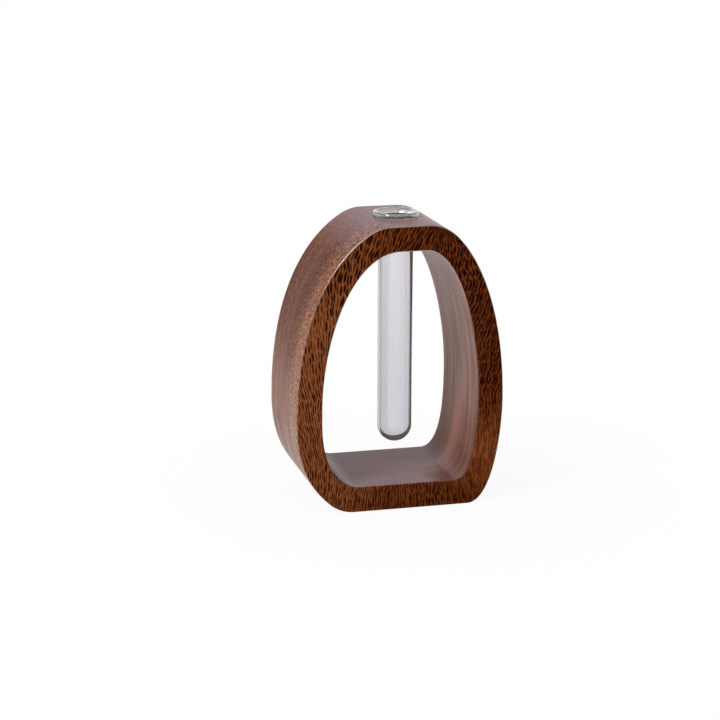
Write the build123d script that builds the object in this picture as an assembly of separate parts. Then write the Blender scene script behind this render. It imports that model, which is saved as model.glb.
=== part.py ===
"""Test tube bud vase: an egg-shaped wooden arch with a glass tube hanging through its crown.

Millimetres. The origin is under the middle of the frame, X runs to the right across the arch,
Y runs through it to the back and Z is up.
"""
import math
import os

from build123d import *

# Wooden frame, overall
FRAME_HEIGHT = 95.0
FRAME_WIDTH = 70.0
FRAME_DEPTH = 40.0
EDGE_BREAK = 0.5

# Wood left around the opening
LEFT_WALL = 8.5
RIGHT_WALL = 8.5
FLOOR_THICKNESS = 8.6
CROWN_THICKNESS = 8.3

# The crown, its hole and the tube share one axis, a little right of the frame's middle
TUBE_AXIS_X = 3.2

# Level stretches of the outer outline and of the opening; those at the top start from the tube's axis
BASE_FLAT_LEFT = 15.7
BASE_FLAT_RIGHT = 23.2
CROWN_FLAT_LEFT = 6.8
CROWN_FLAT_RIGHT = 5.6
FLOOR_FLAT_LEFT = 13.7
FLOOR_FLAT_RIGHT = 18.2
CEILING_FLAT_LEFT = 3.6
CEILING_FLAT_RIGHT = 5.0

# Heights at which the outline and the opening are widest
OUTER_LEFT_BULGE_Z = 31.0
OUTER_RIGHT_BULGE_Z = 35.4
OPENING_LEFT_BULGE_Z = 35.0
OPENING_RIGHT_BULGE_Z = 37.3

# Corners that leave their level stretch through an arc before they run on to the side
OUTER_LOWER_LEFT_TURN_RADIUS = 12.5
OUTER_LOWER_LEFT_TURN_ANGLE = 43.0
OUTER_UPPER_LEFT_TURN_RADIUS = 13.0
OUTER_UPPER_LEFT_TURN_ANGLE = 29.0
OUTER_UPPER_RIGHT_TURN_RADIUS = 14.0
OUTER_UPPER_RIGHT_TURN_ANGLE = 43.5
OPENING_LOWER_LEFT_TURN_RADIUS = 8.6
OPENING_LOWER_LEFT_TURN_ANGLE = 32.5

# Fullness of each outer corner: its pull away from the level stretch and its pull along the side
OUTER_LOWER_LEFT_LEVEL_PULL = 5.7
OUTER_LOWER_LEFT_SIDE_PULL = 17.0
OUTER_LOWER_RIGHT_LEVEL_PULL = 8.7
OUTER_LOWER_RIGHT_SIDE_PULL = 12.0
OUTER_UPPER_LEFT_LEVEL_PULL = 12.4
OUTER_UPPER_LEFT_SIDE_PULL = 39.1
OUTER_UPPER_RIGHT_LEVEL_PULL = 12.0
OUTER_UPPER_RIGHT_SIDE_PULL = 28.6

# Fullness of each corner of the opening
OPENING_LOWER_LEFT_LEVEL_PULL = 10.6
OPENING_LOWER_LEFT_SIDE_PULL = 6.8
OPENING_LOWER_RIGHT_LEVEL_PULL = 7.4
OPENING_LOWER_RIGHT_SIDE_PULL = 12.2
OPENING_UPPER_LEFT_LEVEL_PULL = 16.2
OPENING_UPPER_LEFT_SIDE_PULL = 23.5
OPENING_UPPER_RIGHT_LEVEL_PULL = 11.2
OPENING_UPPER_RIGHT_SIDE_PULL = 21.0

# Glass tube, which hangs clear of the floor by the gap under it
TUBE_DIAMETER = 11.7
TUBE_WALL = 0.6
TUBE_BOTTOM_THICKNESS = 0.8
TUBE_FLOOR_GAP = 9.2
LIP_OVERHANG = 1.75
LIP_HEIGHT = 1.7
LIP_EDGE_RADIUS = 0.6
LIP_FOOT_RADIUS = 0.25
FLARE_RADIUS = 0.4
FLARE_ANGLE = 33.0

# Hole in the crown: room round the tube, room under the flare of the lip, and how far down it is cut
HOLE_CLEARANCE = 0.4
COUNTERSINK_MARGIN = 0.3
HOLE_CUTTER_REACH = 12.0


def corner(level_end, widest, level_pull, side_pull, turn_radius=0.0, turn_angle=0.0):
    """One quarter of an outline: leaves a level stretch level and meets the widest point upright."""
    outward = math.copysign(1, widest[0] - level_end[0])
    upward = math.copysign(1, widest[1] - level_end[1])
    edges = []
    start = Vector(*level_end)
    heading = Vector(outward, 0)
    if turn_radius:
        turn = JernArc(start, heading, turn_radius, outward * upward * turn_angle)
        edges.append(turn)
        start = turn @ 1
        heading = turn % 1
    below_widest = (widest[0], widest[1] - upward * side_pull)
    edges.append(Bezier(start, start + heading * level_pull, below_widest, widest))
    return edges


def egg_face(bottom_left, bottom_right, top_left, top_right, left, right, fullness):
    """Closed outline of two level stretches and four corners, standing in the XZ plane."""
    lower_left, lower_right, upper_left, upper_right = fullness
    edges = [
        Line(bottom_left, bottom_right),
        *corner(bottom_right, right, *lower_right),
        *corner(top_right, right, *upper_right),
        Line(top_right, top_left),
        *corner(top_left, left, *upper_left),
        *corner(bottom_left, left, *lower_left),
    ]
    return Plane.XZ * make_face(edges)


def outer_face():
    return egg_face(
        bottom_left=(-BASE_FLAT_LEFT, 0),
        bottom_right=(BASE_FLAT_RIGHT, 0),
        top_left=(TUBE_AXIS_X - CROWN_FLAT_LEFT, FRAME_HEIGHT),
        top_right=(TUBE_AXIS_X + CROWN_FLAT_RIGHT, FRAME_HEIGHT),
        left=(-FRAME_WIDTH / 2, OUTER_LEFT_BULGE_Z),
        right=(FRAME_WIDTH / 2, OUTER_RIGHT_BULGE_Z),
        fullness=(
            (
                OUTER_LOWER_LEFT_LEVEL_PULL,
                OUTER_LOWER_LEFT_SIDE_PULL,
                OUTER_LOWER_LEFT_TURN_RADIUS,
                OUTER_LOWER_LEFT_TURN_ANGLE,
            ),
            (OUTER_LOWER_RIGHT_LEVEL_PULL, OUTER_LOWER_RIGHT_SIDE_PULL),
            (
                OUTER_UPPER_LEFT_LEVEL_PULL,
                OUTER_UPPER_LEFT_SIDE_PULL,
                OUTER_UPPER_LEFT_TURN_RADIUS,
                OUTER_UPPER_LEFT_TURN_ANGLE,
            ),
            (
                OUTER_UPPER_RIGHT_LEVEL_PULL,
                OUTER_UPPER_RIGHT_SIDE_PULL,
                OUTER_UPPER_RIGHT_TURN_RADIUS,
                OUTER_UPPER_RIGHT_TURN_ANGLE,
            ),
        ),
    )


def opening_face():
    ceiling_z = FRAME_HEIGHT - CROWN_THICKNESS
    return egg_face(
        bottom_left=(-FLOOR_FLAT_LEFT, FLOOR_THICKNESS),
        bottom_right=(FLOOR_FLAT_RIGHT, FLOOR_THICKNESS),
        top_left=(TUBE_AXIS_X - CEILING_FLAT_LEFT, ceiling_z),
        top_right=(TUBE_AXIS_X + CEILING_FLAT_RIGHT, ceiling_z),
        left=(LEFT_WALL - FRAME_WIDTH / 2, OPENING_LEFT_BULGE_Z),
        right=(FRAME_WIDTH / 2 - RIGHT_WALL, OPENING_RIGHT_BULGE_Z),
        fullness=(
            (
                OPENING_LOWER_LEFT_LEVEL_PULL,
                OPENING_LOWER_LEFT_SIDE_PULL,
                OPENING_LOWER_LEFT_TURN_RADIUS,
                OPENING_LOWER_LEFT_TURN_ANGLE,
            ),
            (OPENING_LOWER_RIGHT_LEVEL_PULL, OPENING_LOWER_RIGHT_SIDE_PULL),
            (OPENING_UPPER_LEFT_LEVEL_PULL, OPENING_UPPER_LEFT_SIDE_PULL),
            (OPENING_UPPER_RIGHT_LEVEL_PULL, OPENING_UPPER_RIGHT_SIDE_PULL),
        ),
    )


def crown_hole():
    """Cutter for the hole: a straight bore, opened by a 45 degree countersink at its mouth."""
    bore_radius = TUBE_DIAMETER / 2 + HOLE_CLEARANCE
    mouth_radius = TUBE_DIAMETER / 2 + FLARE_RADIUS + COUNTERSINK_MARGIN
    bore_bottom_z = FRAME_HEIGHT - HOLE_CUTTER_REACH
    countersink_z = FRAME_HEIGHT - (mouth_radius - bore_radius)
    clear_z = FRAME_HEIGHT + FLARE_RADIUS
    half_section = Polyline(
        (0, bore_bottom_z),
        (bore_radius, bore_bottom_z),
        (bore_radius, countersink_z),
        (mouth_radius + FLARE_RADIUS, clear_z),
        (0, clear_z),
        close=True,
    )
    cutter = revolve(Plane.XZ * make_face(half_section), axis=Axis.Z)
    return Pos(TUBE_AXIS_X, 0, 0) * cutter


def wooden_frame():
    block = extrude(outer_face() - opening_face(), amount=FRAME_DEPTH / 2, both=True)
    rims = block.faces().sort_by(Axis.Y)
    block = fillet(rims[0].edges() + rims[-1].edges(), EDGE_BREAK)
    return block - crown_hole()


def test_tube():
    """Glass shell: round bottom, thin straight wall, and a flared mouth in a lip whose flat foot is its seat."""
    outer_radius = TUBE_DIAMETER / 2
    bore_radius = outer_radius - TUBE_WALL
    seat_z = FRAME_HEIGHT
    lip_z = seat_z + LIP_HEIGHT
    bottom_z = FLOOR_THICKNESS + TUBE_FLOOR_GAP
    round_z = bottom_z + outer_radius
    bore_bottom_z = bottom_z + TUBE_BOTTOM_THICKNESS
    bore_round_z = bore_bottom_z + bore_radius

    lip_radius = outer_radius + LIP_OVERHANG
    foot_r = lip_radius - LIP_FOOT_RADIUS
    edge_r = lip_radius - LIP_EDGE_RADIUS
    slope_sin = math.sin(math.radians(FLARE_ANGLE))
    slope_cos = math.cos(math.radians(FLARE_ANGLE))
    mouth_r = edge_r - LIP_EDGE_RADIUS * slope_sin
    mouth_z = lip_z - LIP_EDGE_RADIUS * (1 - slope_cos)
    throat_radius = (mouth_r - bore_radius) / (1 - slope_sin)
    throat_z = mouth_z - throat_radius * slope_cos

    outside = [
        RadiusArc((0, bottom_z), (outer_radius, round_z), -outer_radius),
        Line((outer_radius, round_z), (outer_radius, seat_z - FLARE_RADIUS)),
        RadiusArc((outer_radius, seat_z - FLARE_RADIUS), (outer_radius + FLARE_RADIUS, seat_z), FLARE_RADIUS),
        Line((outer_radius + FLARE_RADIUS, seat_z), (foot_r, seat_z)),
        RadiusArc((foot_r, seat_z), (lip_radius, seat_z + LIP_FOOT_RADIUS), -LIP_FOOT_RADIUS),
        Line((lip_radius, seat_z + LIP_FOOT_RADIUS), (lip_radius, lip_z - LIP_EDGE_RADIUS)),
    ]
    inside = [
        RadiusArc((lip_radius, lip_z - LIP_EDGE_RADIUS), (mouth_r, mouth_z), -LIP_EDGE_RADIUS),
        RadiusArc((mouth_r, mouth_z), (bore_radius, throat_z), -throat_radius),
        Line((bore_radius, throat_z), (bore_radius, bore_round_z)),
        RadiusArc((bore_radius, bore_round_z), (0, bore_bottom_z), bore_radius),
        Line((0, bore_bottom_z), (0, bottom_z)),
    ]
    shell = revolve(Plane.XZ * make_face(outside + inside), axis=Axis.Z)
    return Pos(TUBE_AXIS_X, 0, 0) * shell


os.makedirs("parts", exist_ok=True)
for name, piece in (("wooden_frame", wooden_frame()), ("test_tube", test_tube())):
    export_step(piece, f"parts/{name}.step")
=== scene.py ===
"""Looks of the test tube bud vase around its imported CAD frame.

The arch gets a dark, open-pored hardwood with an oiled satin finish and the tube a clear, faintly grey
glass. Around them are a white tabletop, one soft lamp and a camera at the photograph's viewing angle.
Metres, in the CAD model's frame: X across the arch, Y through it to the back, Z up. Lengths that belong
to the wood and the glass are in millimetres.
"""

import math
from types import SimpleNamespace

import bpy
from mathutils import Matrix, Vector

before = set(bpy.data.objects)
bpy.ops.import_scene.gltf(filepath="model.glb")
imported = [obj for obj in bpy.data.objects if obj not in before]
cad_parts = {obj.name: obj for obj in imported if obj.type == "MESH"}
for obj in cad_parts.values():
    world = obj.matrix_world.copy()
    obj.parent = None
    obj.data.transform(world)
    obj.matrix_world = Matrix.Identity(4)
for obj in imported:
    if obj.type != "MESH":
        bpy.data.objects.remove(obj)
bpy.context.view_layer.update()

# The photograph's view, in degrees and metres
VIEW_AZIMUTH = -14.66
VIEW_ELEVATION = 14.40
VIEW_ROLL = 0.16
VIEW_DISTANCE = 0.6733
AIM_RIGHT = -0.00855
AIM_UP = -0.00146
LENS_LENGTH = 100.41
SENSOR_WIDTH = 36.0

# Light: what the white room gives all round, and one soft lamp to the upper left of the front
WHITE = (1.0, 1.0, 1.0, 1.0)
ROOM_LIGHT = 0.66
LAMP_TOWARD = (-0.66, -0.35, 0.66)
LAMP_DISTANCE = 0.8
LAMP_SIZE = 0.24
LAMP_POWER = 3.1

# Tabletop, in metres: its two whites, and the share of the shadow that it keeps, from far to near
TABLETOP_RADIUS = 3.0
TABLETOP_CORNERS = 96
TABLETOP_NOISE = (60.0, 60.0, 60.0), 3.0
TABLETOP_TONES = (0.92, 0.92, 0.92, 1.0), (0.95, 0.95, 0.95, 1.0)
SHADOW_REACH = (0.16, 0.03)
SHADOW_SHARE = 0.08

# From here on lengths are in millimetres. A pair that ends in X, Y or Z is a stretch of that axis, from
# where something starts to where it is complete
MM_PER_METRE = 1000.0

# Noise: its waves per millimetre along each axis, and how many finer rounds of waves lie on them
WANDER_NOISE = (0.03, 0.03, 0.06), 1.0
CURL_NOISE = (0.12, 0.12, 0.22), 1.0
SCATTER_NOISE = (0.3, 0.3, 0.3), 1.0
LAYER_NOISE = (0.02, 0.2, 0.012), 3.0
STREAK_NOISE = (0.03, 0.33, 0.03), 1.6
FIBRE_NOISE = (2.4, 2.4, 0.16), 3.0
MOTTLE_NOISE = (0.12, 0.12, 0.05), 2.0
SWIRL_NOISE = (0.5, 0.5, 0.14), 3.0
SPECK_NOISE = (1.8, 1.8, 1.0), 2.0
DRAWN_GLASS_NOISE = (0.5, 0.5, 0.05), 1.0

# Lean of the grain lines from upright, as sideways run per millimetre of height
LEAN_AT_FOOT = -0.2
LEAN_PER_WIDTH = 0.0055
LEAN_PER_HEIGHT = 0.0055
LEAN_MID_HEIGHT = 47.0

# Bends of the grain lines below and above a height, in the foot and on the right shoulder
FOOT_TURN_HEIGHT = 22.0
FOOT_TURN = 0.0059
FOOT_TURN_FADE = -0.00037
SHOULDER_TURN_HEIGHT = 72.0
SHOULDER_TURN = 0.016
SHOULDER_TURN_X = (8.0, 20.0)

# How far the grain lines stray sideways in long waves, in short ones and, mostly on the right, in kinks
WANDER = 3.6
CURL = 1.6
SCATTER = (0.2, 1.15)
SCATTER_X = (2.0, 18.0)

# One vessel in its row, as shares of the spacing of the rows and of the step along them. Rows start apart
# by up to so many steps
ROW_SHIFT = 17.0
VESSEL_ASIDE = 0.5
VESSEL_THICKER = 0.15
VESSEL_SHORTEST = 0.33
VESSEL_LONGER = 0.27
VESSEL_RIM = (1.25, 0.65)
SHEATH_RIM = (1.8, 0.8)
THIN_VESSELS = (0.0, 0.5)
VESSEL_STRENGTHS = (0.4, 1.0)

# Large vessels, fuller at the crown, and fine ones that cross them and show most on the right. The fine
# ones and the back face's take another stretch of the pattern, rows widen to the right, and all of them are
# fainter in the calm patch
LARGE_VESSELS = {"Spacing": 0.9, "Length": 4.0}
LARGE_FULLNESS = (0.165, 0.265)
LARGE_FULLNESS_Z = (50.0, 84.0)
FINE_VESSELS = {"Spacing": 0.8, "Length": 2.6, "Fullness": 0.12}
FINE_SHARES = (0.5, 0.9)
FINE_SHARES_X = (0.0, 18.0)
FINE_LEAN = 0.4
FINE_APART = 31.0
BACK_APART = 37.0
WIDE_ROWS_FROM = 12.0
ROW_WIDENING = -0.2
CALM_VESSELS = -0.55

# Kinds of surface: by how squarely a point faces front or back, or up or down, and by how far it faces
# the middle of the arch
FLAT_FACING = (0.35, 0.85)
EDGE_FACING_FROM = (0.25, 0.5)
EDGE_FACING_TO = (0.95, 0.82)
END_GRAIN_FROM = 0.6
END_GRAIN_FROM_INSIDE = -0.3
END_GRAIN_TO = 0.98
ARCH_MIDDLE = (1.5, 0.0, 45.0)
INWARD = (-4.0, 4.0)

# Bare wood in the drilled hole, by distance from its axis and by height
DRILLED_RADIUS = (6.7, 6.55)
DRILLED_Z = (84.0, 86.0)

# Pale strip along the front of the left side: its back edge at the foot, and how it narrows upward
STRIP_BACK_Y = 4.0
STRIP_TAPER = 0.2
STRIP_RIM = (2.0, -4.0)
STRIP_X = (4.0, -8.0)

# Painted shade in the corner low in the opening, on the right near the front
SHADED_CORNER_X = (8.0, 14.0)
SHADED_CORNER_Y = (1.0, -9.0)
SHADED_CORNER_Z = (20.0, 13.0)

# Dark heartwood and a calm, swirled patch, as centre across and up, core and reach
HEART = (29.0, 56.0, 6.0, 26.0)
CALM_PATCH = (30.0, 16.0, 5.0, 23.0)

# Growth layers lie nearly flat to the front and tilt to the back on the right. One is paler
LAYER_TILT = -0.22
PALE_LAYER_FRONT = (-23.0, -14.0)
PALE_LAYER_BACK = (-2.0, -7.0)

# Tone of the ground, 0 in its darkest layer and 1 in its palest, and what each thing adds to it
GROUND_TONE = 0.45
PALE_LAYER_SHIFT = 0.42
PALE_LAYER_SHIFT_INSIDE = -0.3
HEART_SHIFT = -0.19
CALM_SHIFT = 0.2
SHEATH_SHIFT = -0.36
FIBRE_SHIFT = 0.8
MOTTLE_SHIFT = 0.3
LAYER_SHIFT = 0.3
SWIRL_SHIFT = 1.2
STREAK_SHIFT = 1.1
STRIP_SHIFT = 0.3
LEFT_SIDE_X = (-5.0, -18.0)
LEFT_SIDE_Z = (90.0, 78.0)
# Painted shade on the outer bands of the shoulders
SHOULDERS_SHADE_SHIFT = -0.13
SHOULDERS_SHADE_Z = (52.0, 72.0)
# Painted shade on the flat faces low at the foot
FOOT_SHADE_SHIFT = -0.06
FOOT_SHADE_Z = (14.0, 6.0)
CROWN_SHIFT = -0.05
CROWN_Z = (76.0, 88.0)
# Painted shade in the dark corner low in the opening
CORNER_SHADE_SHIFT = -0.35
WALL_SHIFTS = (-0.4, 0.25)
WALL_SHIFTS_Z = (22.0, 48.0)

# Wood tones: the ground from its darkest to its palest layer, then what lies over it
DARK_TONE = (0.062, 0.009, 0.0006, 1.0)
MIDDLE_TONE = (0.148, 0.036, 0.006, 1.0)
PALE_TONE = (0.27, 0.088, 0.031, 1.0)
PORE_TONE = (0.011, 0.0005, 0.0001, 1.0)
ROSY_LAYER_TONE = (0.31, 0.148, 0.122, 1.0)
WARM_STRIPE_TONE = (0.385, 0.16, 0.1, 1.0)
FADED_TONE = (0.30, 0.15, 0.11, 1.0)
FADED_STRIP_TONE = (0.38, 0.215, 0.157, 1.0)
# End grain's greyish tone, partly a painted sheen
END_GRAIN_SHEEN_TONE = (0.245, 0.159, 0.179, 1.0)
SPECK_TONE = (0.43, 0.235, 0.16, 1.0)
# Pale tone of the painted highlight on the rims
PAINTED_HIGHLIGHT_TONE = (0.62, 0.43, 0.38, 1.0)
DRILLED_TONE = (0.06, 0.035, 0.025, 1.0)

# Rosy layers on the walls of the opening, by streaks above and toward the back below, and a warm stripe
LOW_WALL_Z = (38.0, 24.0)
ROSY_Z = (3.0, 12.0)
HIGH_ROSY_STREAKS = (0.36, 0.62)
HIGH_ROSY_SHARES = (0.2, 0.95)
LOW_ROSY_STREAKS = 1.3
LOW_ROSY_SHARES = (-0.38, 0.12)
LOW_ROSY_SHARES_Y = (-6.0, 6.0)
WARM_STRIPE_MIDDLE = 2.5
WARM_STRIPE_RIM = (6.0, 1.5)
WARM_STRIPE_SHARE = 0.8

# Faded wood, in streaks: low on the left, and fainter on the outer right
FADED_LEFT_X = (-8.0, -28.0)
FADED_LEFT_Z = (62.0, 28.0)
FADED_RIGHT_X = (8.0, 28.0)
FADED_RIGHT_SHARE = 0.4
FADED_STREAKS = (0.35, 0.65)
FADED_SHARES = (0.35, 0.8)

# Sanded end grain at the crown and the floor, greyed by a painted sheen, less in the painted shade of the
# dark corner
END_GRAIN_SHEEN_SHARE = 0.85
END_GRAIN_SHEEN_SHARE_CORNER_SHADE = -0.65

# Light and dark specks on the bands: more to the front and the left, fewer in the opening
LIGHT_SPECKS = (0.5, 0.33)
DARK_SPECKS = (0.5, 0.67)
SPECK_SHARE = 0.5
SPECKS_TO_FRONT = (0.55, 1.75)
SPECKS_TO_FRONT_Y = (-1.0, -16.0)
SPECKS_TO_LEFT = (0.3, 1.0)
SPECKS_TO_LEFT_X = (22.0, -10.0)
SPECKS_IN_OPENING = -0.45

# Painted highlight on the rims, pale along the left shoulder to the crown and high in the opening
EDGE_HIGHLIGHT_SHARE = 0.65
EDGE_HIGHLIGHT_SHOULDER_X = (14.0, -4.0)
EDGE_HIGHLIGHT_SHOULDER_Z = (70.0, 86.0)
EDGE_HIGHLIGHT_CROWN_SHARES = (0.45, 1.0)
EDGE_HIGHLIGHT_CROWN_Z = (95.0, 90.0)
EDGE_HIGHLIGHT_OPENING_Z = (55.0, 80.0)

# Oil finish: its roughness, the fibres' relief as a share of the pores' depth, and the wax on it
WOOD_ROUGHNESS = 0.24
WOOD_SMEAR_ROUGHNESS = 0.06
WOOD_SMEAR_SIZE = 14.0
PORE_ROUGHNESS = 0.25
PORE_SHARE = 0.97
FIBRE_RELIEF = 0.15
WALL_WAX = 0.15
WALL_WAX_Z = (14.0, 40.0)
EDGE_WAX = (0.15, 1.0)
EDGE_WAX_Z = (30.0, 75.0)

# Cloudy marks of handling
SMEAR_DETAIL = 4.0
SMEAR_RIM = (0.35, 0.68)

# Glass: tints from the tube's foot, in painted shade, to its neck, of the clear lip, which starts about the
# crown's height, of the wall where it is seen along itself, also painted shade, and of the body
SHADED_FOOT_TINT = (0.80, 0.797, 0.825, 1.0)
NECK_TINT = (0.85, 0.847, 0.87, 1.0)
NECK_TINT_Z = (30.0, 88.0)
LIP_TINT = (1.0, 1.0, 1.0, 1.0)
LIP_FROM_CROWN = (-0.3, 0.2)
EDGE_SHADE_TINT = (0.30, 0.325, 0.35, 1.0)
EDGE_SHADE_FACING = (0.45, 0.7)
BODY_TINT = (0.5, 0.49, 0.57, 1.0)
GLASS_ROUGHNESS = 0.012
GLASS_SMEAR_ROUGHNESS = 0.03
GLASS_SMEAR_SIZE = 7.0
LIP_ROUGHNESS = 0.1


class Wiring:
    """Places nodes in one tree. An input takes a number, a colour or the output of another node."""

    def __init__(self, tree):
        self.tree = tree
        tree.nodes.clear()

    def node(self, kind, inputs=None, **settings):
        made = self.tree.nodes.new(kind)
        for name, value in settings.items():
            setattr(made, name, value)
        for socket, value in (inputs or {}).items():
            if isinstance(value, bpy.types.NodeSocket):
                self.tree.links.new(value, made.inputs[socket])
            else:
                made.inputs[socket].default_value = value
        return made

    def math(self, operation, *values):
        return self.node("ShaderNodeMath", dict(enumerate(values)), operation=operation).outputs[0]

    def vector(self, operation, *values):
        return self.node("ShaderNodeVectorMath", dict(enumerate(values)), operation=operation).outputs[0]

    def length(self, arrow):
        return self.node("ShaderNodeVectorMath", {0: arrow}, operation="LENGTH").outputs["Value"]

    def split(self, place):
        return self.node("ShaderNodeSeparateXYZ", {0: place}).outputs

    def join(self, x, y, z):
        return self.node("ShaderNodeCombineXYZ", {0: x, 1: y, 2: z}).outputs[0]

    def times(self, *values):
        """The product of its values."""
        product = values[0]
        for value in values[1:]:
            product = self.math("MULTIPLY", product, value)
        return product

    def add(self, base, amount, strength):
        """The base and an amount times its strength."""
        return self.math("MULTIPLY_ADD", amount, strength, base)

    def rest(self, share):
        """What a share leaves of the whole."""
        return self.math("SUBTRACT", 1.0, share)

    def past(self, value, start):
        """How far a value is past a start, and 0 before it."""
        return self.math("MAXIMUM", self.math("SUBTRACT", value, start), 0.0)

    def about_middle(self, value):
        """A value between 0 and 1 as one between minus a half and a half."""
        return self.math("SUBTRACT", value, 0.5)

    def ease(self, value, stretch, levels=(0.0, 1.0)):
        """Goes smoothly from one level to the other while the value runs along a stretch."""
        (start, end), (low, high) = stretch, levels
        inputs = {"Value": value, "From Min": start, "From Max": end, "To Min": low, "To Max": high}
        return self.node("ShaderNodeMapRange", inputs, interpolation_type="SMOOTHSTEP").outputs["Result"]

    def blend(self, share, first, second):
        return self.node("ShaderNodeMix", {0: share, 6: first, 7: second}, data_type="RGBA").outputs[2]

    def noise(self, place, waves, detail):
        """Soft noise from 0 to 1: one value as Fac, and three as Color."""
        inputs = {"Vector": self.vector("MULTIPLY", place, waves), "Scale": 1.0, "Detail": detail}
        return self.node("ShaderNodeTexNoise", inputs).outputs


def new_material(name):
    material = bpy.data.materials.new(name)
    material.use_nodes = True
    return material, Wiring(material.node_tree)


def new_group(name, inputs, outputs):
    """A shader node group. Inputs are (name, kind, default) and outputs (name, kind)."""
    group = bpy.data.node_groups.new(name, "ShaderNodeTree")
    for label, kind, default in inputs:
        socket = group.interface.new_socket(label, in_out="INPUT", socket_type=kind)
        if default is not None:
            socket.default_value = default
    for label, kind in outputs:
        group.interface.new_socket(label, in_out="OUTPUT", socket_type=kind)
    wires = Wiring(group)
    return group, wires, wires.node("NodeGroupInput").outputs


def vessel_group():
    """Open vessels on a face along the grain: rows of dark dashes, each in a sheath of darker wood."""
    group, wires, given = new_group(
        "wood_vessels",
        [
            ("Face", "NodeSocketVector", None),
            ("Spacing", "NodeSocketFloat", 1.0),
            ("Length", "NodeSocketFloat", 3.0),
            ("Fullness", "NodeSocketFloat", 0.2),
        ],
        [("Mask", "NodeSocketFloat"), ("Sheath", "NodeSocketFloat")],
    )

    def steps(value):
        """The whole part of a value, and where the value lies about the middle of that step."""
        whole = wires.math("FLOOR", value)
        return whole, wires.about_middle(wires.math("SUBTRACT", value, whole))

    across, along, _ = wires.split(given["Face"])
    row, beside = steps(wires.math("DIVIDE", across, given["Spacing"]))
    row_start = wires.node("ShaderNodeTexWhiteNoise", {"W": row}, noise_dimensions="1D").outputs["Value"]
    run = wires.math("DIVIDE", along, given["Length"])
    dash, before = steps(wires.add(run, row_start, ROW_SHIFT))
    cell = {"Vector": wires.join(row, dash, 0.0)}
    own = wires.node("ShaderNodeTexWhiteNoise", cell, noise_dimensions="2D").outputs["Color"]
    thick, aside, long = wires.split(own)

    beside = wires.add(beside, wires.about_middle(aside), VESSEL_ASIDE)
    half_width = wires.add(given["Fullness"], thick, VESSEL_THICKER)
    half_length = wires.add(VESSEL_SHORTEST, long, VESSEL_LONGER)
    sideways = wires.math("DIVIDE", beside, half_width)
    lengthwise = wires.math("DIVIDE", before, half_length)
    reach = wires.length(wires.join(sideways, lengthwise, 0.0))
    strength = wires.ease(thick, THIN_VESSELS, VESSEL_STRENGTHS)
    mask = wires.times(wires.ease(reach, VESSEL_RIM), strength)
    wires.node("NodeGroupOutput", {"Mask": mask, "Sheath": wires.ease(reach, SHEATH_RIM)})
    return group


def handling_group():
    """Faint cloudy marks that wiping and fingers leave on a finish."""
    group, wires, given = new_group(
        "handling_marks",
        [("Place", "NodeSocketVector", None), ("Size", "NodeSocketFloat", 12.0)],
        [("Mask", "NodeSocketFloat")],
    )
    waves = wires.math("DIVIDE", 1.0, given["Size"])
    cloud = wires.noise(given["Place"], wires.join(waves, waves, waves), SMEAR_DETAIL)["Fac"]
    wires.node("NodeGroupOutput", {"Mask": wires.ease(cloud, SMEAR_RIM)})
    return group


def millimetres(wires):
    """The place on the piece in millimetres, and its surface direction."""
    where = wires.node("ShaderNodeTexCoord").outputs
    return wires.vector("MULTIPLY", where["Object"], (MM_PER_METRE,) * 3), where["Normal"]


def grain_lines(wires, place):
    """Turns a place into one along the leaning, wandering grain: across, through and along it."""
    x, y, z = wires.split(place)
    lean = wires.times(x, wires.math("SUBTRACT", z, LEAN_MID_HEIGHT), LEAN_PER_WIDTH)
    lean = wires.add(lean, z, LEAN_AT_FOOT)
    lean = wires.add(lean, wires.times(z, z), LEAN_PER_HEIGHT / 2)
    in_foot = wires.past(FOOT_TURN_HEIGHT, z)
    foot = wires.times(in_foot, in_foot, wires.add(FOOT_TURN, x, FOOT_TURN_FADE))
    in_shoulder = wires.past(z, SHOULDER_TURN_HEIGHT)
    shoulder = wires.times(in_shoulder, in_shoulder, wires.ease(x, SHOULDER_TURN_X, (0.0, SHOULDER_TURN)))
    across = wires.math("ADD", wires.math("SUBTRACT", x, lean), wires.math("ADD", foot, shoulder))
    upright = wires.join(across, y, z)

    def stray(noise, reach):
        """Waves across and through the grain."""
        waves = wires.vector("SUBTRACT", wires.noise(upright, *noise)["Color"], (0.5, 0.5, 0.5))
        return wires.vector("MULTIPLY", waves, (reach, reach, 0.0))

    kinks = wires.about_middle(wires.noise(upright, *SCATTER_NOISE)["Fac"])
    scatter = wires.join(wires.times(kinks, wires.ease(x, SCATTER_X, SCATTER)), 0.0, 0.0)
    wander = wires.vector("ADD", stray(WANDER_NOISE, WANDER), scatter)
    return wires.vector("ADD", upright, wires.vector("ADD", wander, stray(CURL_NOISE, CURL)))


def around(wires, x, z, spot):
    """1 in the core of a spot on the arch, fading to 0 at its reach."""
    centre_x, centre_z, core, reach = spot
    offset = wires.join(wires.math("SUBTRACT", x, centre_x), 0.0, wires.math("SUBTRACT", z, centre_z))
    return wires.ease(wires.length(offset), (reach, core))


def front_strip(wires, x, y, z):
    """1 on the paler layer along the front of the left side, which narrows upward, and 0 behind it."""
    behind = wires.add(wires.math("SUBTRACT", y, STRIP_BACK_Y), z, STRIP_TAPER)
    return wires.times(wires.ease(behind, STRIP_RIM), wires.ease(x, STRIP_X))


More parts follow.
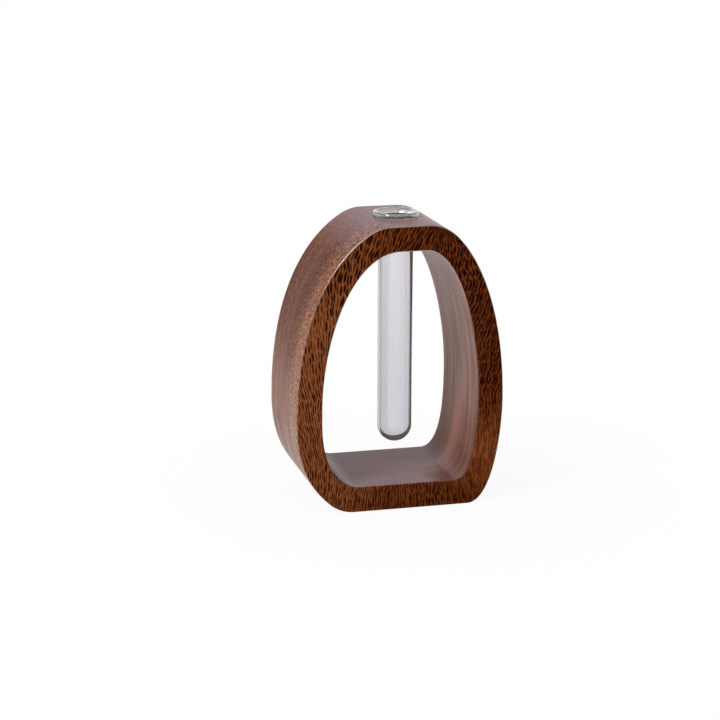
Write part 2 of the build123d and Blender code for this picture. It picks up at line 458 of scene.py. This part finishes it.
def wood_places(wires, hole_x):
    """Where on the arch a point lies: its coordinates, and shares from 0 to 1 of each kind of surface."""
    place, direction = millimetres(wires)
    x, y, z = wires.split(place)
    _, facing_y, facing_z = wires.split(direction)
    to_front = wires.math("ABSOLUTE", facing_y)
    to_top = wires.math("ABSOLUTE", facing_z)
    flat = wires.ease(to_front, FLAT_FACING)
    band = wires.rest(flat)
    to_middle = wires.vector("SUBTRACT", ARCH_MIDDLE, wires.join(x, 0.0, z))
    inward = wires.node("ShaderNodeVectorMath", {0: direction, 1: to_middle}, operation="DOT_PRODUCT")
    inside = wires.ease(inward.outputs["Value"], INWARD)
    opening = wires.times(inside, band)
    end_grain_from = wires.add(END_GRAIN_FROM, inside, END_GRAIN_FROM_INSIDE)
    from_hole = wires.length(wires.vector("SUBTRACT", wires.join(x, y, 0.0), (hole_x, 0.0, 0.0)))
    return SimpleNamespace(
        place=place,
        grain=grain_lines(wires, place),
        x=x,
        y=y,
        z=z,
        side=wires.math("SIGN", facing_y),
        flat=flat,
        band=band,
        inside=inside,
        opening=opening,
        end_grain=wires.times(wires.ease(to_top, (end_grain_from, END_GRAIN_TO)), band),
        edge=wires.times(wires.ease(to_front, EDGE_FACING_FROM), wires.ease(to_front, EDGE_FACING_TO)),
        drilled=wires.times(wires.ease(from_hole, DRILLED_RADIUS), wires.ease(z, DRILLED_Z)),
        strip=front_strip(wires, x, y, z),
        # Painted shade in the low corner of the opening, on the right near the front
        corner=wires.times(opening, wires.ease(x, SHADED_CORNER_X), wires.ease(y, SHADED_CORNER_Y)),
        heart=around(wires, x, z, HEART),
        calm=around(wires, x, z, CALM_PATCH),
    )


def open_vessels(wires, vessels, at):
    """Vessels that the flat faces cut lengthwise, large and fine, and the sheaths of the large ones."""
    across, _, along = wires.split(at.grain)
    across = wires.add(across, wires.past(across, WIDE_ROWS_FROM), ROW_WIDENING)
    along_face = wires.add(along, at.side, BACK_APART)
    crossing = wires.add(wires.math("ADD", across, FINE_APART), along, FINE_LEAN)
    large_inputs = {
        "Face": wires.join(across, along_face, 0.0),
        "Fullness": wires.ease(at.z, LARGE_FULLNESS_Z, LARGE_FULLNESS),
        **LARGE_VESSELS,
    }
    fine_inputs = {"Face": wires.join(crossing, along_face, 0.0), **FINE_VESSELS}
    large = wires.node("ShaderNodeGroup", large_inputs, node_tree=vessels).outputs
    fine = wires.node("ShaderNodeGroup", fine_inputs, node_tree=vessels).outputs
    fine_marks = wires.times(fine["Mask"], wires.ease(at.x, FINE_SHARES_X, FINE_SHARES))
    shown = wires.times(at.flat, wires.add(1.0, at.calm, CALM_VESSELS))
    marks = wires.math("MAXIMUM", large["Mask"], fine_marks)
    return wires.times(marks, shown), wires.times(large["Sheath"], shown)


def growth_layers(wires, at):
    """The wood's layers: how far back each lies, their slow waves, and their narrow streaks."""
    through = wires.add(at.y, at.x, LAYER_TILT)
    place = wires.join(at.x, through, at.z)
    return SimpleNamespace(
        through=through,
        wave=wires.noise(place, *LAYER_NOISE)["Fac"],
        streaks=wires.noise(place, *STREAK_NOISE)["Fac"],
    )


def ground_tone(wires, at, layers, fibre, sheath):
    """How pale the wood is: 0 in its darkest layer, 1 in its palest."""
    pale_layer = wires.times(
        wires.ease(layers.through, PALE_LAYER_FRONT),
        wires.ease(layers.through, PALE_LAYER_BACK),
    )
    mottle = wires.about_middle(wires.noise(at.grain, *MOTTLE_NOISE)["Fac"])
    swirl = wires.about_middle(wires.noise(at.grain, *SWIRL_NOISE)["Fac"])
    outside = wires.math("SUBTRACT", at.band, at.opening)
    left_side = wires.times(outside, wires.ease(at.x, LEFT_SIDE_X), wires.ease(at.z, LEFT_SIDE_Z))
    walls = wires.past(at.opening, at.end_grain)
    shifts = [
        (pale_layer, wires.add(PALE_LAYER_SHIFT, at.opening, PALE_LAYER_SHIFT_INSIDE)),
        (at.heart, HEART_SHIFT),
        (at.calm, CALM_SHIFT),
        (sheath, SHEATH_SHIFT),
        (wires.about_middle(fibre), FIBRE_SHIFT),
        (mottle, MOTTLE_SHIFT),
        (wires.about_middle(layers.wave), LAYER_SHIFT),
        (wires.times(swirl, at.calm), SWIRL_SHIFT),
        (wires.times(wires.about_middle(layers.streaks), at.band), STREAK_SHIFT),
        (wires.times(left_side, wires.about_middle(at.strip)), STRIP_SHIFT),
        # painted shade on the outer bands of the shoulders
        (wires.times(outside, wires.ease(at.z, SHOULDERS_SHADE_Z)), SHOULDERS_SHADE_SHIFT),
        # painted shade on the flat faces at the foot
        (wires.times(at.flat, wires.ease(at.z, FOOT_SHADE_Z)), FOOT_SHADE_SHIFT),
        (wires.times(at.flat, wires.ease(at.z, CROWN_Z)), CROWN_SHIFT),
        # painted shade in the low corner of the opening
        (wires.times(at.corner, wires.ease(at.z, SHADED_CORNER_Z)), CORNER_SHADE_SHIFT),
        (walls, wires.ease(at.z, WALL_SHIFTS_Z, WALL_SHIFTS)),
    ]
    tone = GROUND_TONE
    for amount, strength in shifts:
        tone = wires.add(tone, amount, strength)
    return tone


def ground_colour(wires, tone):
    """The ground's colour, from its darkest layer through a middle one to its palest."""
    ramp = wires.node("ShaderNodeValToRGB", {"Fac": tone})
    ramp.color_ramp.elements[0].color = DARK_TONE
    ramp.color_ramp.elements[1].color = PALE_TONE
    ramp.color_ramp.elements.new(0.5).color = MIDDLE_TONE
    return ramp.outputs["Color"]


def opening_walls(wires, at, streaks, colour):
    """Rosy layers on the walls of the opening, and a warm stripe low on them."""
    low = wires.ease(at.z, LOW_WALL_Z)
    high_share = wires.ease(streaks, HIGH_ROSY_STREAKS, HIGH_ROSY_SHARES)
    low_share = wires.add(wires.ease(at.y, LOW_ROSY_SHARES_Y, LOW_ROSY_SHARES), streaks, LOW_ROSY_STREAKS)
    rosy_share = wires.math("ADD", wires.times(wires.rest(low), high_share), wires.times(low, low_share))
    rosy = wires.times(at.opening, wires.ease(at.z, ROSY_Z), rosy_share)
    colour = wires.blend(rosy, colour, ROSY_LAYER_TONE)
    from_stripe = wires.math("ABSOLUTE", wires.math("SUBTRACT", at.y, WARM_STRIPE_MIDDLE))
    stripe = wires.ease(from_stripe, WARM_STRIPE_RIM, (0.0, WARM_STRIPE_SHARE))
    return wires.blend(wires.times(at.opening, low, stripe), colour, WARM_STRIPE_TONE)


def faded_sides(wires, at, streaks, colour):
    """Faded wood on both sides, palest in the left side's front strip."""
    left = wires.times(wires.ease(at.z, FADED_LEFT_Z), wires.ease(at.x, FADED_LEFT_X))
    right = wires.times(wires.rest(at.inside), wires.ease(at.x, FADED_RIGHT_X), FADED_RIGHT_SHARE)
    in_streaks = wires.ease(streaks, FADED_STREAKS, FADED_SHARES)
    faded = wires.times(at.band, wires.math("ADD", left, right), in_streaks)
    return wires.blend(faded, colour, wires.blend(at.strip, FADED_TONE, FADED_STRIP_TONE))


def end_grain_and_sheen(wires, at, colour):
    """Dull, greyish end grain where the saw cut across the fibres, its grey partly a painted sheen."""
    # less of the end grain's tone in the painted shade of the corner
    end_grain_share = wires.add(END_GRAIN_SHEEN_SHARE, at.corner, END_GRAIN_SHEEN_SHARE_CORNER_SHADE)
    return wires.blend(wires.times(at.end_grain, end_grain_share), colour, END_GRAIN_SHEEN_TONE)


def specks_and_pores(wires, at, pores, colour):
    """Light and dark specks on the bands, and the dark open pores on the flat faces."""
    speckle = wires.noise(at.grain, *SPECK_NOISE)["Fac"]
    density = wires.times(
        wires.ease(at.y, SPECKS_TO_FRONT_Y, SPECKS_TO_FRONT),
        wires.add(1.0, at.opening, SPECKS_IN_OPENING),
        wires.ease(at.x, SPECKS_TO_LEFT_X, SPECKS_TO_LEFT),
    )
    light_specks = wires.times(wires.ease(speckle, LIGHT_SPECKS), at.band, density, SPECK_SHARE)
    dark_specks = wires.times(wires.ease(speckle, DARK_SPECKS), at.band, density, SPECK_SHARE)
    colour = wires.blend(light_specks, colour, SPECK_TONE)
    return wires.blend(wires.math("ADD", pores, dark_specks), colour, PORE_TONE)


def painted_edge_highlights(wires, at, colour):
    """Pale rims: a painted highlight along the rounded edges."""
    shoulder = wires.times(
        wires.ease(at.z, EDGE_HIGHLIGHT_SHOULDER_Z),
        wires.ease(at.z, EDGE_HIGHLIGHT_CROWN_Z, EDGE_HIGHLIGHT_CROWN_SHARES),
        wires.ease(at.x, EDGE_HIGHLIGHT_SHOULDER_X),
    )
    highlighted = wires.math("MAXIMUM", shoulder, wires.times(at.inside, wires.ease(at.z, EDGE_HIGHLIGHT_OPENING_Z)))
    # the pale rims are a painted highlight
    return wires.blend(wires.times(at.edge, highlighted, EDGE_HIGHLIGHT_SHARE), colour, PAINTED_HIGHLIGHT_TONE)


def wood_colour(wires, at, fibre, pores, sheath):
    """The wood's colours one over the other, from the ground to the bare wood in the drilled hole."""
    layers = growth_layers(wires, at)
    colour = ground_colour(wires, ground_tone(wires, at, layers, fibre, sheath))
    colour = opening_walls(wires, at, layers.streaks, colour)
    colour = faded_sides(wires, at, layers.streaks, colour)
    colour = end_grain_and_sheen(wires, at, colour)
    colour = specks_and_pores(wires, at, pores, colour)
    # painted highlight on the rims
    colour = painted_edge_highlights(wires, at, colour)
    return wires.blend(at.drilled, colour, DRILLED_TONE)


def smears(wires, handling, place, size):
    """Marks of handling on one finish."""
    marks = wires.node("ShaderNodeGroup", {"Place": place, "Size": size}, node_tree=handling)
    return marks.outputs["Mask"]


def oiled_wood(vessels, handling, hole_x):
    """Dark hardwood: open vessels on the flat faces, soft streaks round the bands, a thin oil finish."""
    material, wires = new_material("oiled_wood")
    at = wood_places(wires, hole_x)
    fibre = wires.noise(at.grain, *FIBRE_NOISE)["Fac"]
    open_pores, sheath = open_vessels(wires, vessels, at)
    pores = wires.times(open_pores, PORE_SHARE)
    marks = smears(wires, handling, at.place, WOOD_SMEAR_SIZE)
    roughness = wires.add(WOOD_ROUGHNESS, marks, WOOD_SMEAR_ROUGHNESS)
    roughness = wires.add(roughness, pores, PORE_ROUGHNESS)
    height = wires.math("SUBTRACT", wires.times(fibre, FIBRE_RELIEF), open_pores)
    relief = wires.node("ShaderNodeBump", {"Height": height, "Strength": 0.4, "Distance": 0.00004})
    waxed = wires.math("MAXIMUM", at.end_grain, wires.ease(at.z, WALL_WAX_Z))
    wall_wax = wires.times(at.opening, waxed, WALL_WAX)
    edge_wax = wires.times(at.edge, wires.ease(at.z, EDGE_WAX_Z, EDGE_WAX))
    shader = wires.node(
        "ShaderNodeBsdfPrincipled",
        {
            "Base Color": wood_colour(wires, at, fibre, pores, sheath),
            "Roughness": roughness,
            "Normal": relief.outputs[0],
            "Specular IOR Level": 0.02,
            "Coat Weight": wires.math("MAXIMUM", edge_wax, wall_wax),
            "Coat Roughness": 0.3,
            "Coat IOR": 1.8,
        },
    )
    wires.node("ShaderNodeOutputMaterial", {"Surface": shader.outputs[0]})
    return material


def tube_glass(handling, crown_z):
    """Drawn glass: faintly grey along the tube, with painted shade toward the foot and at the edges, clear
    and bright at the lip, lightly fingered.
    """
    material, wires = new_material("tube_glass")
    place, _ = millimetres(wires)
    _, _, z = wires.split(place)
    lip = wires.ease(z, [crown_z + step for step in LIP_FROM_CROWN])
    # painted shade: the glass darker toward the foot
    tint = wires.blend(wires.ease(z, NECK_TINT_Z), SHADED_FOOT_TINT, NECK_TINT)
    along_wall = wires.node("ShaderNodeLayerWeight", {"Blend": 0.5}).outputs["Facing"]
    # painted shade where the wall is seen edge-on
    tint = wires.blend(wires.ease(along_wall, EDGE_SHADE_FACING), tint, EDGE_SHADE_TINT)
    tint = wires.blend(lip, tint, LIP_TINT)
    marks = smears(wires, handling, place, GLASS_SMEAR_SIZE)
    roughness = wires.add(GLASS_ROUGHNESS, marks, GLASS_SMEAR_ROUGHNESS)
    roughness = wires.add(roughness, lip, LIP_ROUGHNESS)
    draw_lines = wires.noise(place, *DRAWN_GLASS_NOISE)["Fac"]
    ripple = wires.node("ShaderNodeBump", {"Height": draw_lines, "Strength": 0.15, "Distance": 0.0001})
    shader = wires.node(
        "ShaderNodeBsdfPrincipled",
        {
            "Base Color": tint,
            "Roughness": roughness,
            "IOR": 1.48,
            "Transmission Weight": 1.0,
            "Normal": ripple.outputs[0],
            "Coat Weight": lip,
            "Coat Roughness": 0.1,
            "Coat IOR": 2.4,
        },
    )
    body = wires.node("ShaderNodeVolumeAbsorption", {"Color": BODY_TINT, "Density": 40.0})
    wires.node("ShaderNodeOutputMaterial", {"Surface": shader.outputs[0], "Volume": body.outputs[0]})
    return material


def seen_rays(wires):
    """1 for rays that show the white room: straight from the camera, off gloss or through glass."""
    path = wires.node("ShaderNodeLightPath").outputs
    shown = wires.math("MAXIMUM", path["Is Camera Ray"], path["Is Glossy Ray"])
    return wires.math("MAXIMUM", shown, path["Is Transmission Ray"])


def white_tabletop():
    """A round white tabletop that keeps a soft share of the shadow, and is clear from below."""
    bpy.ops.mesh.primitive_circle_add(vertices=TABLETOP_CORNERS, radius=TABLETOP_RADIUS, fill_type="NGON")
    tabletop = bpy.context.object
    tabletop.name = "tabletop"
    material, wires = new_material("white_tabletop")
    spot = wires.node("ShaderNodeTexCoord").outputs["Object"]
    tint = wires.blend(wires.noise(spot, *TABLETOP_NOISE)["Fac"], *TABLETOP_TONES)
    matt = wires.node("ShaderNodeBsdfDiffuse", {"Color": tint})
    white = wires.node("ShaderNodeEmission", {"Color": WHITE, "Strength": 1.0})
    shaded = wires.ease(wires.length(spot), SHADOW_REACH, (0.0, SHADOW_SHARE))
    share = wires.times(seen_rays(wires), wires.rest(shaded))
    top = wires.node("ShaderNodeMixShader", {0: share, 1: matt.outputs[0], 2: white.outputs[0]})
    clear = wires.node("ShaderNodeBsdfTransparent")
    below = wires.node("ShaderNodeNewGeometry").outputs["Backfacing"]
    both = wires.node("ShaderNodeMixShader", {0: below, 1: top.outputs[0], 2: clear.outputs[0]})
    wires.node("ShaderNodeOutputMaterial", {"Surface": both.outputs[0]})
    tabletop.data.materials.append(material)


def studio_light(vase_middle):
    """A white room and one soft square lamp."""
    world = bpy.data.worlds.new("white_room")
    bpy.context.scene.world = world
    world.use_nodes = True
    wires = Wiring(world.node_tree)
    room = wires.node("ShaderNodeBackground", {"Color": WHITE, "Strength": ROOM_LIGHT})
    backdrop = wires.node("ShaderNodeBackground", {"Color": WHITE, "Strength": 1.0})
    inputs = {0: seen_rays(wires), 1: room.outputs[0], 2: backdrop.outputs[0]}
    both = wires.node("ShaderNodeMixShader", inputs)
    wires.node("ShaderNodeOutputWorld", {"Surface": both.outputs[0]})

    lamp = bpy.data.lights.new("soft_lamp", "AREA")
    lamp.size = LAMP_SIZE
    lamp.energy = LAMP_POWER
    holder = bpy.data.objects.new("soft_lamp", lamp)
    bpy.context.collection.objects.link(holder)
    toward = Vector(LAMP_TOWARD).normalized()
    holder.location = vase_middle + toward * LAMP_DISTANCE
    holder.rotation_mode = "QUATERNION"
    holder.rotation_quaternion = (-toward).to_track_quat("-Z", "Y")


def photo_camera(vase_middle):
    """The photograph's view: its angles and distance, and how far its middle lies beside the arch's."""
    azimuth, elevation = math.radians(VIEW_AZIMUTH), math.radians(VIEW_ELEVATION)
    level = math.cos(elevation)
    back = Vector((math.sin(azimuth) * level, -math.cos(azimuth) * level, math.sin(elevation)))
    level_right = Vector((0.0, 0.0, 1.0)).cross(back).normalized()
    right = Matrix.Rotation(math.radians(VIEW_ROLL), 3, back) @ level_right
    up = back.cross(right)
    aim = vase_middle + right * AIM_RIGHT + up * AIM_UP
    data = bpy.data.cameras.new("photo_camera")
    data.lens = LENS_LENGTH
    data.sensor_width = SENSOR_WIDTH
    camera = bpy.data.objects.new("photo_camera", data)
    bpy.context.collection.objects.link(camera)
    axes = Matrix((right, up, back)).transposed().to_4x4()
    camera.matrix_world = Matrix.Translation(aim + back * VIEW_DISTANCE) @ axes
    bpy.context.scene.camera = camera


def piece_box(node):
    """Lowest and highest corner of a CAD piece, in metres."""
    axes = list(zip(*(vertex.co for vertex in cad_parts[node].data.vertices)))
    return Vector([min(axis) for axis in axes]), Vector([max(axis) for axis in axes])


def dress(node, material):
    """Gives a CAD piece its finish."""
    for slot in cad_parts[node].material_slots:
        slot.material = material


_, arch_high = piece_box("wooden_frame")
tube_low, tube_high = piece_box("test_tube")
vase_middle = Vector((0.0, 0.0, arch_high.z / 2))
hole_x = (tube_low.x + tube_high.x) / 2 * MM_PER_METRE
crown_z = arch_high.z * MM_PER_METRE

handling = handling_group()
dress("wooden_frame", oiled_wood(vessel_group(), handling, hole_x))
dress("test_tube", tube_glass(handling, crown_z))
white_tabletop()
studio_light(vase_middle)
photo_camera(vase_middle)
bpy.context.scene.view_settings.view_transform = "Standard"
